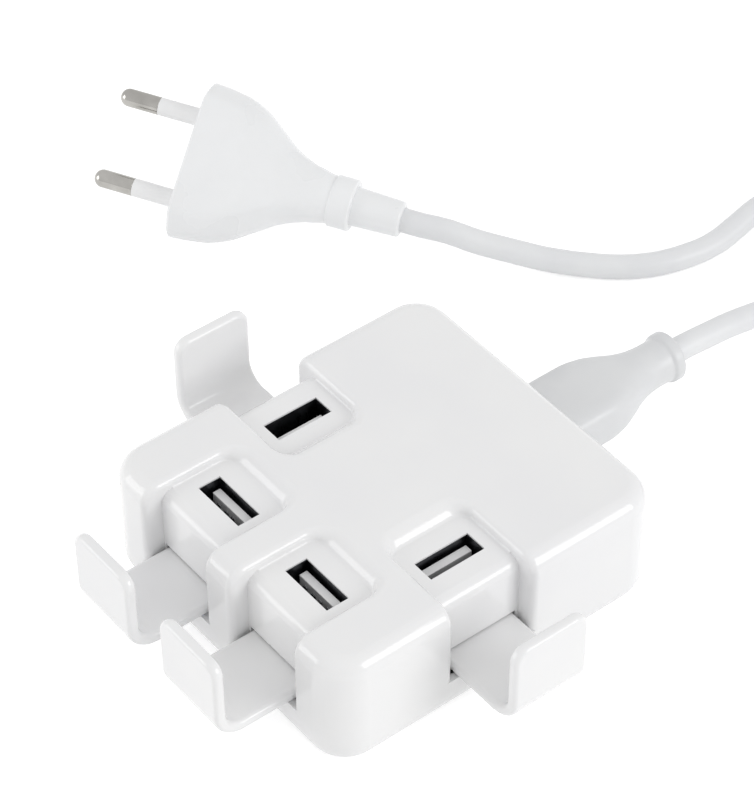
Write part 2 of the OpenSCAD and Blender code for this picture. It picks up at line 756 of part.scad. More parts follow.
module lead(route) {
    n = len(route);
    polyhedron([for (i = [0:n - 1]) each ring(route, i)], concat(
        [[for (k = [0:lead_sides - 1]) lead_sides - 1 - k]],
        [for (i = [0:n - 2], k = [0:lead_sides - 1]) let (m = (k + 1) % lead_sides)
            [i * lead_sides + k, i * lead_sides + m, (i + 1) * lead_sides + m, (i + 1) * lead_sides + k]],
        [[for (k = [0:lead_sides - 1]) (n - 1) * lead_sides + k]]
    ));
}

module lead_near() {
    color(white) lead(near_route);
}

module lead_far() {
    color(white) lead(far_route);
}

module lead_coil() {
    color(white) translate([coil_at[0], coil_at[1], coil_z + coil_h / 2]) rotate_extrude($fn=64)
        translate([coil_d / 2, 0]) polygon(rounded(2 * coil_half, coil_h, lead_r, small_steps));
}

module coil_tie() {
    color([0.15, 0.15, 0.16]) translate([coil_at[0], coil_at[1] + coil_d / 2, coil_z + coil_h / 2])
        rotate([90, 0, 90]) translate([0, 0, -tie_w / 2]) linear_extrude(tie_w) difference() {
            polygon(rounded(2 * (coil_half + tie_t) + tie_slack, coil_h + 2 * tie_t,
                lead_r + tie_t, small_steps));
            polygon(rounded(2 * coil_half + tie_slack, coil_h, lead_r, small_steps));
        }
}

// Plug's own frame: +Z runs from the pins' tips to the lead, from the plug's face
module at_plug() {
    translate(plug_at) rotate(plug_yaw) rotate([0, -plug_pitch, 0]) rotate([90, 0, 90])
        rotate(plug_roll) children();
}

// Body of the plug: broad and flat at the face, drawn in to the collar
function plug_stations() = [
    [0, plug_w / 2 - 1, plug_t / 2 - 1, 4.5], [1, plug_w / 2, plug_t / 2, 4.5],
    [8, plug_w / 2 - 0.8, plug_t / 2, 4.5], [13, plug_w / 2 - 2.6, plug_t / 2 - 0.1, 4.2],
    [18, plug_w / 2 - 6, plug_t / 2 - 0.3, 3.8], [23, plug_w / 2 - 9.4, plug_t / 2 - 0.6, 3.2],
    [28, plug_w / 2 - 11.4, plug_t / 2 - 1, 2.6], [plug_l - collar_l, 5.3, 5.3, 2.1],
    [plug_l - collar_l + 0.4, 5.7, 5.7, 2], [plug_l - 0.4, 5.7, 5.7, 2], [plug_l, 5.3, 5.3, 2]
];

module plug_body() {
    color(white) at_plug() difference() {
        loft(plug_stations(), 32);
        translate([0, 0, plug_l - boot_in - 0.05]) cylinder(d=boot_d + 0.1, h=boot_in + over);
    }
}

module plug_boot() {
    r = boot_d / 2;
    l = boot_in + boot_l;
    color(white) at_plug() translate([0, 0, plug_l - boot_in]) rotate_extrude()
        polygon([[0, 0], [r, 0], [r, boot_in], [r - 0.4, l - 0.4], [r - 0.8, l], [0, l]]);
}

module plug_pins() {
    color(steel) at_plug() for (s = [-1, 1]) translate([s * pin_pitch / 2, 0, -sleeve_l]) {
        cylinder(d=pin_d - 0.6, h=sleeve_l);
        translate([0, 0, -(pin_l - sleeve_l) + pin_d / 2])
            cylinder(d=pin_d, h=pin_l - sleeve_l - pin_d / 2);
        translate([0, 0, -(pin_l - sleeve_l) + pin_d / 2]) sphere(d=pin_d);
    }
}

module plug_sleeves() {
    color(white) at_plug() for (s = [-1, 1]) translate([s * pin_pitch / 2, 0, -sleeve_l]) difference() {
        cylinder(d=pin_d, h=sleeve_l);
        translate([0, 0, -over]) cylinder(d=pin_d - 0.6, h=sleeve_l + 2 * over);
    }
}

housing();
base_tray();
base_pad();
base_screws();
slide_plate();
plate_screws();
holder_at(0);  // left_holder
holder_at(1);  // front_left_holder
holder_at(2);  // front_right_holder
holder_at(3);  // right_holder
usb_board();
socket_shell(0);  // left_socket_shell
socket_shell(1);  // front_left_socket_shell
socket_shell(2);  // front_right_socket_shell
socket_shell(3);  // right_socket_shell
socket_tongue(0);  // left_socket_tongue
socket_tongue(1);  // front_left_socket_tongue
socket_tongue(2);  // front_right_socket_tongue
socket_tongue(3);  // right_socket_tongue
socket_contacts();
power_board();
transformer_core();
transformer_winding();
mains_capacitor();
output_capacitors();
fuse();
rectifier();
board_leads();
inlet_socket();
inlet_pins();
mains_leads();
connector_core();
connector_sleeves();
connector_grip();
lead_near();
lead_coil();
coil_tie();
lead_far();
plug_body();
plug_boot();
plug_pins();
plug_sleeves();
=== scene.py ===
"""Dresses a white desktop USB charging station and its mains lead for a studio picture.

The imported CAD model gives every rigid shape. This script gives each visible moulding a smooth
skin with fine round edges, moulds the plug and the connector's grip, lays the mains lead along
its route, and makes the finishes and the studio.
"""

import logging
import math
from dataclasses import dataclass, field
from enum import Enum
from typing import Callable, Sequence

import bpy
from mathutils import Matrix, Vector


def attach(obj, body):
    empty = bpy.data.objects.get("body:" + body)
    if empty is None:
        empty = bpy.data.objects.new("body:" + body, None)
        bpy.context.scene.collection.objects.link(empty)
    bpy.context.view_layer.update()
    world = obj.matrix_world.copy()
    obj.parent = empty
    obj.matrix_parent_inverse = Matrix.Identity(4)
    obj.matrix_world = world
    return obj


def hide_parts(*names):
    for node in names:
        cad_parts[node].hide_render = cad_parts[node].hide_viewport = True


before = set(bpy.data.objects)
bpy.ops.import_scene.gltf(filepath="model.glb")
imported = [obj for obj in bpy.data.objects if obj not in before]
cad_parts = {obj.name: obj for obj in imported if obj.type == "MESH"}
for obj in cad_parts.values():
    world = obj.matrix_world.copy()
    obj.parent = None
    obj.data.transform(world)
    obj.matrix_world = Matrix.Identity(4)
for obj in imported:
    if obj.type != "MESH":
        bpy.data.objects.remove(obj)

log = logging.getLogger("charging_station")

MM = 0.001
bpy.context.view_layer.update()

# Points closer than this are one point
MERGE_M = 1e-6
# Faces that turn by less than this are flat
FLAT_DEG = 0.5
# Faces whose normal points lower than this are hidden undersides
UNDERSIDE_NORMAL_Z = -0.9
# Broken edges stay smooth up to this much beyond the angle that counts as sharp
SMOOTH_MARGIN_DEG = 4.0

Point = tuple[float, float, float]


class Body(Enum):
    """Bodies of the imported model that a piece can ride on."""

    CHARGER = "charger"
    LEFT_HOLDER = "left_holder"
    FRONT_LEFT_HOLDER = "front_left_holder"
    FRONT_RIGHT_HOLDER = "front_right_holder"
    RIGHT_HOLDER = "right_holder"


class Slot(Enum):
    """Material slots of the record."""

    WHITE_GLOSS = "white_gloss"
    WHITE_VINYL = "white_vinyl"
    PAD_RUBBER = "pad_rubber"
    BRIGHT_METAL = "bright_metal"
    BOARD_GREEN = "board_green"
    PALE_PLASTIC = "pale_plastic"
    CONTACT_BRASS = "contact_brass"
    DARK_PLASTIC = "dark_plastic"
    WIRE_BROWN = "wire_brown"
    WIRE_RED = "wire_red"
    WINDING_TAPE = "winding_tape"


# Colour and node helpers


def hex_to_linear(code: str) -> tuple[float, float, float, float]:
    """Turns an sRGB hex colour into linear light.

    Args:
        code: A colour such as "#EDEDED".

    Returns:
        Red, green and blue in linear light, and an alpha of 1.
    """
    channels = [int(code[i : i + 2], 16) / 255 for i in (1, 3, 5)]
    linear = [c / 12.92 if c <= 0.04045 else ((c + 0.055) / 1.055) ** 2.4 for c in channels]
    return (*linear, 1.0)


def add_node(
    tree: bpy.types.NodeTree,
    kind: str,
    settings: dict[str, object] | None = None,
    **inputs: object,
) -> bpy.types.Node:
    """Adds a node, with its settings, and its inputs given as values or as links.

    Args:
        tree: The node tree to add to.
        kind: The node's type name.
        settings: Attributes of the node itself.
        **inputs: Input sockets by name, with "_" for a space, or by index as "i0".

    Returns:
        The new node.
    """
    node = tree.nodes.new(kind)
    for name, value in (settings or {}).items():
        setattr(node, name, value)
    for name, value in inputs.items():
        is_index = name[0] == "i" and name[1:].isdigit()
        socket = node.inputs[int(name[1:])] if is_index else node.inputs[name.replace("_", " ")]
        if isinstance(value, bpy.types.NodeSocket):
            tree.links.new(value, socket)
        else:
            socket.default_value = value
    return node


def per_metre(size_mm: float) -> float:
    """Scale of a noise whose cells measure size_mm, on coordinates in metres."""
    return 1.0 / (size_mm * MM)


# Finishes


@dataclass(frozen=True)
class Finish:
    """A finish: what the surface is made of and how it was made.

    Attributes:
        name: The material's common name.
        colour: sRGB hex colour of a clean, evenly lit surface.
        shade: sRGB hex colour of its slightly darker areas.
        roughness: Mean roughness.
        metallic: 1 for bare metal.
        ior: Index of refraction, or None to keep the shader's own.
        mottle_mm: Size of the slow changes in colour and gloss.
        roughness_swing: How far roughness moves either way.
        grain_mm: Size of the surface's fine relief.
        grain_height_mm: Height of that relief.
        coat: Weight of a clear gloss over the surface.
        sheen: Weight of a soft sheen.
        subsurface: How much light scatters inside the surface.
    """

    name: str
    colour: str
    shade: str
    roughness: float
    metallic: float = 0.0
    ior: float | None = 1.5
    mottle_mm: float = 18.0
    roughness_swing: float = 0.03
    grain_mm: float = 1.0
    grain_height_mm: float = 0.004
    coat: float = 0.0
    sheen: float = 0.0
    subsurface: float = 0.0

    def colour_source(
        self, tree: bpy.types.NodeTree, place: bpy.types.NodeSocket, mottle: bpy.types.NodeSocket
    ) -> bpy.types.NodeSocket:
        """Colour that moves slowly between the two colours of the finish.

        Args:
            tree: The material's node tree.
            place: Object coordinates.
            mottle: The slow noise, from 0 to 1.

        Returns:
            The colour's output socket.
        """
        ramp = add_node(tree, "ShaderNodeValToRGB", i0=mottle)
        ramp.color_ramp.elements[0].position = 0.35
        ramp.color_ramp.elements[0].color = hex_to_linear(self.shade)
        ramp.color_ramp.elements[1].position = 0.65
        ramp.color_ramp.elements[1].color = hex_to_linear(self.colour)
        return ramp.outputs["Color"]

    def relief(
        self, tree: bpy.types.NodeTree, place: bpy.types.NodeSocket
    ) -> bpy.types.NodeSocket:
        """Height of the surface's fine grain, from 0 to 1.

        Args:
            tree: The material's node tree.
            place: Object coordinates.

        Returns:
            The height's output socket.
        """
        grain = add_node(
            tree, "ShaderNodeTexNoise", Vector=place, Scale=per_metre(self.grain_mm), Detail=2.0
        )
        return grain.outputs["Fac"]

    def build(self) -> bpy.types.Material:
        """Makes the material.

        Returns:
            The new material, ready to assign.
        """
        material = bpy.data.materials.new(self.name)
        material.use_nodes = True
        tree = material.node_tree
        tree.nodes.clear()
        place = add_node(tree, "ShaderNodeTexCoord").outputs["Object"]
        mottle = add_node(
            tree, "ShaderNodeTexNoise", Vector=place, Scale=per_metre(self.mottle_mm), Detail=3.0
        ).outputs["Fac"]
        rough = add_node(
            tree,
            "ShaderNodeMapRange",
            Value=mottle,
            From_Min=0.3,
            From_Max=0.7,
            To_Min=max(self.roughness - self.roughness_swing, 0.02),
            To_Max=self.roughness + self.roughness_swing,
        )
        bump = add_node(
            tree,
            "ShaderNodeBump",
            Strength=1.0,
            Distance=self.grain_height_mm * MM,
            Height=self.relief(tree, place),
        )
        shader = add_node(
            tree,
            "ShaderNodeBsdfPrincipled",
            Base_Color=self.colour_source(tree, place, mottle),
            Roughness=rough.outputs["Result"],
            Metallic=self.metallic,
            Normal=bump.outputs["Normal"],
            Coat_Weight=self.coat,
            Sheen_Weight=self.sheen,
            Subsurface_Weight=self.subsurface,
        )
        if self.ior is not None:
            shader.inputs["IOR"].default_value = self.ior
        if self.subsurface:
            shader.inputs["Subsurface Radius"].default_value = (1.0, 0.95, 0.9)
            shader.inputs["Subsurface Scale"].default_value = 0.6 * MM
        add_node(tree, "ShaderNodeOutputMaterial", Surface=shader.outputs["BSDF"])
        return material


@dataclass(frozen=True)
class DrawnMetal(Finish):
    """Drawn and plated metal, with fine lines along one axis.

    Attributes:
        line_axis: Axis along which the lines run, 0 to 2.
    """

    line_axis: int = 2

    def relief(
        self, tree: bpy.types.NodeTree, place: bpy.types.NodeSocket
    ) -> bpy.types.NodeSocket:
        """Height of long fine lines, drawn out 20 times along the line axis.

        Args:
            tree: The material's node tree.
            place: Object coordinates.

        Returns:
            The height's output socket.
        """
        stretch = [1.0, 1.0, 1.0]
        stretch[self.line_axis] = 0.05
        drawn = add_node(tree, "ShaderNodeMapping", Vector=place, Scale=tuple(stretch))
        lines = add_node(
            tree,
            "ShaderNodeTexNoise",
            Vector=drawn.outputs["Vector"],
            Scale=per_metre(self.grain_mm),
            Detail=3.0,
        )
        return lines.outputs["Fac"]


@dataclass(frozen=True)
class PlasticWithPaintedShadeBelow(Finish):
    """A moulding in its own colour above one height, with painted shade below it.

    Attributes:
        lower: sRGB hex colour of the painted shade below the meeting height.
        meet_mm: The meeting height above the floor.
    """

    lower: str = "#151515"
    meet_mm: float = 0.0

    def colour_source(
        self, tree: bpy.types.NodeTree, place: bpy.types.NodeSocket, mottle: bpy.types.NodeSocket
    ) -> bpy.types.NodeSocket:
        """Own colour above the meeting height, and the painted shade colour below it.

        Args:
            tree: The material's node tree.
            place: Object coordinates.
            mottle: The slow noise, from 0 to 1.

        Returns:
            The colour's output socket.
        """
        upper = super().colour_source(tree, place, mottle)
        height = add_node(tree, "ShaderNodeSeparateXYZ", Vector=place).outputs["Z"]
        above = add_node(
            tree,
            "ShaderNodeMath",
            {"operation": "GREATER_THAN"},
            i0=height,
            i1=self.meet_mm * MM,
        )
        # Below the meeting height the colour is painted shade
        mix = add_node(
            tree, "ShaderNodeMix", {"data_type": "RGBA"}, i0=above.outputs[0], i7=upper
        )
        mix.inputs[6].default_value = hex_to_linear(self.lower)
        return mix.outputs[2]


# Injection-moulded ABS from a polished mould: bright white, sharp gloss, a faint orange peel
POLISHED_ABS = Finish(
    "polished white ABS", "#EFEFEF", "#ECECED", 0.13, ior=1.54, mottle_mm=26,
    roughness_swing=0.02, grain_mm=5.0, grain_height_mm=0.006, subsurface=0.08,
)
# Extruded soft PVC on the lead: satin, with the fine drag of the die
EXTRUDED_PVC = Finish(
    "extruded white PVC", "#E6E7E8", "#E1E2E4", 0.4, ior=1.53, mottle_mm=12,
    roughness_swing=0.05, grain_mm=1.6, grain_height_mm=0.01, subsurface=0.1, sheen=0.04,
)
# Soft PVC moulded over the plug and the connector: satin, a little glossier than the lead
MOULDED_PVC = Finish(
    "moulded white PVC", "#EFF0F1", "#EBECED", 0.28, ior=1.53, mottle_mm=15,
    roughness_swing=0.04, grain_mm=2.2, grain_height_mm=0.01, subsurface=0.1,
)
# The same PVC, greyed with painted shade, on the connector's grip
GRIP_PVC_PAINTED_SHADE = Finish(
    "moulded white PVC, painted shade", "#DCDDDE", "#D6D7D9", 0.34, ior=1.53, mottle_mm=15,
    roughness_swing=0.04, grain_mm=2.2, grain_height_mm=0.01, subsurface=0.1,
)
# White nylon moulded over the root of each mains pin
SLEEVE_NYLON = Finish(
    "white sleeve nylon", "#F2F2F2", "#EDEDEE", 0.3, ior=1.53, mottle_mm=6,
    grain_mm=1.2, grain_height_mm=0.006, subsurface=0.08,
)
# Nickel plate on the mains pins: bright, with turning lines too fine to see one by one
NICKEL_PLATE = DrawnMetal(
    "nickel-plated brass", "#B4B2AE", "#A19F9B", 0.14, metallic=1.0, ior=None, mottle_mm=6,
    roughness_swing=0.04, grain_mm=0.25, grain_height_mm=0.002,
)
# Zinc-plated steel of the screws
ZINC_PLATE = DrawnMetal(
    "zinc-plated steel", "#BFC2C5", "#AEB1B5", 0.28, metallic=1.0, ior=None, mottle_mm=4,
    roughness_swing=0.06, grain_mm=0.3, grain_height_mm=0.003,
)
# Tinned steel of the socket shells, dull, coloured dark with painted shade for the shade deep in
# the housing
SHELL_STEEL_PAINTED_SHADE = DrawnMetal(
    "tinned socket steel, painted shade", "#55565A", "#3E3F43", 0.34, metallic=1.0, ior=None, mottle_mm=5,
    roughness_swing=0.08, grain_mm=0.35, grain_height_mm=0.004,
)
# Socket tongue of pale nylon, with painted shade: near black below 16.25 mm, deep in the socket
SOCKET_NYLON_PAINTED_SHADE = PlasticWithPaintedShadeBelow(
    "socket nylon, painted shade", "#F4F4F4", "#EAEAEB", 0.4, ior=1.53, mottle_mm=5, roughness_swing=0.05,
    grain_mm=0.6, grain_height_mm=0.006, lower="#101011", meet_mm=16.25,
)
# Acetal of the slide plate and other inner mouldings: pale and waxy
PALE_ACETAL = Finish(
    "pale acetal", "#DEDEDC", "#D5D5D2", 0.42, mottle_mm=9, grain_mm=0.8,
    grain_height_mm=0.008, subsurface=0.1,
)
# Spark-eroded black plastic: inlet, rectifier, tie and cans
BLACK_NYLON = Finish(
    "black nylon", "#1B1B1D", "#121214", 0.5, mottle_mm=5, roughness_swing=0.08,
    grain_mm=0.5, grain_height_mm=0.02,
)
# Pad of soft silicone rubber: pale grey, matt, with a fine grain that grips
PAD_RUBBER = Finish(
    "grey silicone rubber", "#B9B9BB", "#ADADB0", 0.78, ior=1.42, mottle_mm=7,
    roughness_swing=0.06, grain_mm=0.7, grain_height_mm=0.04, sheen=0.15,
)
# Solder mask over glass-fibre board: green with a faint weave
SOLDER_MASK = Finish(
    "green solder mask", "#1F6B3C", "#195A32", 0.3, mottle_mm=3, grain_mm=0.6,
    grain_height_mm=0.01, coat=0.3,
)
# Tin over the bronze of the socket contacts: pale grey and soft
TINNED_BRONZE = DrawnMetal(
    "tinned bronze", "#B6B7BA", "#A3A4A8", 0.32, metallic=1.0, ior=None, mottle_mm=3,
    grain_mm=0.25, grain_height_mm=0.003,
)
# Spring brass of the connector's sleeves
SPRING_BRASS = DrawnMetal(
    "spring brass", "#CBA759", "#B8934A", 0.25, metallic=1.0, ior=None, mottle_mm=3,
    grain_mm=0.25, grain_height_mm=0.003,
)
# Wire insulation and winding tape
BROWN_PVC = Finish("brown wire PVC", "#6A4326", "#5C3A20", 0.42, mottle_mm=4, grain_mm=0.8)
RED_PVC = Finish("red wire PVC", "#A51E1E", "#931A1A", 0.42, mottle_mm=4, grain_mm=0.8)
WINDING_TAPE = Finish("polyester winding tape", "#D8B83C", "#C9A832", 0.35, mottle_mm=6)


class FinishShelf:
    """Makes each finish once and hands out its material."""

    def __init__(self) -> None:
        """Starts with no material made."""
        self._made: dict[Finish, bpy.types.Material] = {}

    def get(self, finish: Finish) -> bpy.types.Material:
        """The material of a finish, made on first use."""
        if finish not in self._made:
            self._made[finish] = finish.build()
        return self._made[finish]

    def paint(self, piece: bpy.types.Object, finish: Finish) -> None:
        """Gives every part of a piece one finish.

        Args:
            piece: A mesh or curve object.
            finish: The finish to give.
        """
        material = self.get(finish)
        slots = piece.data.materials
        if not slots:
            slots.append(material)
        for i in range(len(slots)):
            slots[i] = material


# Modelling helpers


def select_only(piece: bpy.types.Object) -> None:
    """Deselects everything, then selects one object and makes it active."""
    bpy.ops.object.select_all(action="DESELECT")
    piece.select_set(True)
    bpy.context.view_layer.objects.active = piece


def add_modifier(piece: bpy.types.Object, kind: str, **settings: object) -> None:
    """Adds a modifier and applies it.

    Args:
        piece: The object to change.
        kind: The modifier's type name.
        **settings: The modifier's settings.
    """
    select_only(piece)
    modifier = piece.modifiers.new(kind.title(), kind)
    for name, value in settings.items():
        setattr(modifier, name, value)
    bpy.ops.object.modifier_apply(modifier=modifier.name)


@dataclass
class SkinPlan:
    """How a CAD node's visible skin is refined.

    Attributes:
        edge_mm: Radius that breaks the sharp edges, or 0 for none.
        sharp_deg: Edges that turn by less than this count as smooth.
        segments: Segments in each broken edge.
        join_flat: Whether the flat faces' triangles are joined into one face each.
    """

    edge_mm: float = 0.25
    sharp_deg: float = 28.0
    segments: int = 3
    join_flat: bool = True


class Skin:
    """A refined skin that stands for one CAD node."""

    def __init__(self, shelf: FinishShelf) -> None:
        """Keeps the shelf of finishes.

        Args:
            shelf: Where the materials come from.
        """
        self.shelf = shelf

    def lift(self, node: str, join_flat: bool) -> bpy.types.Object:
        """Copies a CAD node's mesh and joins its loose triangles.

        Args:
            node: The CAD node's name.
            join_flat: Whether each flat face becomes one clean face.

        Returns:
            The new object, at the origin.
        """
        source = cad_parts[node]
        piece = source.copy()
        piece.data = source.data.copy()
        piece.parent = None
        piece.matrix_world = Matrix.Identity(4)
        for key in [k for k in piece.keys() if k.startswith("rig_")]:
            del piece[key]
        piece.name = f"{node}_skin"
        piece.data.name = piece.name
        bpy.context.scene.collection.objects.link(piece)
        select_only(piece)
        bpy.ops.object.mode_set(mode="EDIT")
        bpy.ops.mesh.select_all(action="SELECT")
        bpy.ops.mesh.remove_doubles(threshold=MERGE_M)
        bpy.ops.mesh.customdata_custom_splitnormals_clear()
        bpy.ops.object.mode_set(mode="OBJECT")
        if join_flat:
            # The hidden undersides have holes, which one face can't have
            for face in piece.data.polygons:
                face.select = face.normal.z > UNDERSIDE_NORMAL_Z
            bpy.ops.object.mode_set(mode="EDIT")
            bpy.ops.mesh.select_mode(type="FACE")
            bpy.ops.mesh.dissolve_limited(
                angle_limit=math.radians(FLAT_DEG), delimit=set()
            )
            bpy.ops.object.mode_set(mode="OBJECT")
        return piece

    def dress(
        self,
        node: str,
        body: Body,
        finish: Finish,
        plan: SkinPlan,
        reshape: Callable[[bpy.types.Object], None] | None = None,
    ) -> bpy.types.Object:
        """Makes a node's skin, finishes it and puts it on its body.

        Args:
            node: The CAD node that the skin stands for.
            body: The body that it rides on.
            finish: The finish to give.
            plan: How the skin is refined.
            reshape: Moves the skin's points before its edges are broken.

        Returns:
            The finished skin.
        """
        piece = self.lift(node, plan.join_flat)
        if reshape:
            reshape(piece)
        if plan.edge_mm:
            add_modifier(
                piece,
                "BEVEL",
                width=plan.edge_mm * MM,
                segments=plan.segments,
                limit_method="ANGLE",
                angle_limit=math.radians(plan.sharp_deg),
                use_clamp_overlap=True,
                miter_outer="MITER_ARC",
            )
        select_only(piece)
        bpy.ops.object.shade_smooth_by_angle(angle=math.radians(plan.sharp_deg + SMOOTH_MARGIN_DEG))
        add_modifier(piece, "WEIGHTED_NORMAL", keep_sharp=True)
        self.shelf.paint(piece, finish)
        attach(piece, body.value)
        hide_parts(node)
        log.info("skin of %s: %d faces", node, len(piece.data.polygons))
        return piece


@dataclass(frozen=True)
class Station:
    """One section of a moulded body.

    Attributes:
        height_mm: Height along the body's own axis.
        half_width_mm: Half its width.
        half_depth_mm: Half its depth.
        squareness: 2 for an ellipse, more for a section with flat sides.
        corner_mm: How much the corners are cut at 45 degrees. A round section has far less
            than 0, so that the cut doesn't reach it.
    """

    height_mm: float
    half_width_mm: float
    half_depth_mm: float
    squareness: float
    corner_mm: float = -60.0

    def values(self) -> tuple[float, float, float, float, float]:
        """The five numbers of the section."""
        return (
            self.height_mm, self.half_width_mm, self.half_depth_mm, self.squareness,
            self.corner_mm,
        )

    def point(self, angle: float) -> Vector:
        """Point of the section's outline at an angle in radians, in mm."""
        # Above 4, more squareness sharpens the corners but no longer crowds the points there
        power = 2.0 / min(self.squareness, 4.0)
        c, s = math.cos(angle), math.sin(angle)
        x = self.half_width_mm * math.copysign(abs(c) ** power, c)
        y = self.half_depth_mm * math.copysign(abs(s) ** power, s)
        cut = self.half_width_mm + self.half_depth_mm - self.corner_mm
        reach = (
            abs(x / self.half_width_mm) ** self.squareness
            + abs(y / self.half_depth_mm) ** self.squareness
            + ((abs(x) + abs(y)) / cut) ** self.squareness
        ) ** (-1.0 / self.squareness)
        return Vector((x * reach, y * reach, self.height_mm))


@dataclass
class MouldedBody:
    """A body drawn smoothly through its sections, along its own axis.

    Attributes:
        stations: The sections, from the bottom up.
        turn: Matrix from the body's own frame in mm to the shared one in mm.
        sides: Points round each section.
        steps: Rings between two sections.
    """

    stations: Sequence[Station]
    turn: Matrix
    sides: int = 128
    steps: int = 5

    def rings(self) -> list[Station]:
        """Sections at every ring, with no bulge beyond the given ones.

        Returns:
            The given sections and those between them.
        """
        rows = [station.values() for station in self.stations]
        count = len(rows)
        slopes = []
        for i in range(count):
            before, here, after = rows[max(i - 1, 0)], rows[i], rows[min(i + 1, count - 1)]
            slopes.append([self.knot_slope(before, here, after, k) for k in range(5)])
        rings = []
        for i in range(count - 1):
            gap = rows[i + 1][0] - rows[i][0]
            for step in range(self.steps):
                t = step / self.steps
                a, b = 2 * t**3 - 3 * t**2 + 1, 3 * t**2 - 2 * t**3
                c, d = t**3 - 2 * t**2 + t, t**3 - t**2
                rings.append(
                    Station(
                        rows[i][0] + t * gap,
                        *(
                            a * rows[i][k] + b * rows[i + 1][k]
                            + gap * (c * slopes[i][k] + d * slopes[i + 1][k])
                            for k in range(1, 5)
                        ),
                    )
                )
        rings.append(self.stations[-1])
        return rings

    @staticmethod
    def knot_slope(
        before: Sequence[float], here: Sequence[float], after: Sequence[float], k: int
    ) -> float:
        """Slope of value k at a section, or 0 at a peak and at either end.

        Args:
            before: Values of the section below.
            here: Values of this section.
            after: Values of the section above.
            k: Which value.

        Returns:
            Its change for each mm of height.
        """
        if here[0] == before[0] or here[0] == after[0]:
            return 0.0
        below = (here[k] - before[k]) / (here[0] - before[0])
        above = (after[k] - here[k]) / (after[0] - here[0])
        return 0.0 if below * above <= 0 else 2 * below * above / (below + above)

    def build(self, name: str) -> bpy.types.Object:
        """Extrudes a disc ring by ring, then gives each ring its section.

        Args:
            name: The new piece's name.

        Returns:
            The new piece, at the origin.
        """
        rings = self.rings()
        bpy.ops.object.select_all(action="DESELECT")
        bpy.ops.mesh.primitive_circle_add(
            vertices=self.sides, radius=1.0, fill_type="NGON", location=(0, 0, 0)
        )
        piece = bpy.context.active_object
        piece.name = piece.data.name = name
        bpy.ops.object.mode_set(mode="EDIT")
        bpy.ops.mesh.select_all(action="SELECT")
        for _ in rings[1:]:
            bpy.ops.mesh.extrude_region_move(TRANSFORM_OT_translate={"value": (0, 0, 1)})
        bpy.ops.object.mode_set(mode="OBJECT")
        for vertex in piece.data.vertices:
            ring = rings[round(vertex.co.z)]
            angle = math.atan2(vertex.co.y, vertex.co.x)
            vertex.co = (self.turn @ ring.point(angle)) * MM
        select_only(piece)
        bpy.ops.object.mode_set(mode="EDIT")
        bpy.ops.mesh.select_all(action="SELECT")
        bpy.ops.mesh.normals_make_consistent(inside=False)
        bpy.ops.object.mode_set(mode="OBJECT")
        bpy.ops.object.shade_smooth_by_angle(angle=math.radians(40))
        add_modifier(piece, "WEIGHTED_NORMAL", keep_sharp=True)
        return piece


# Mains lead


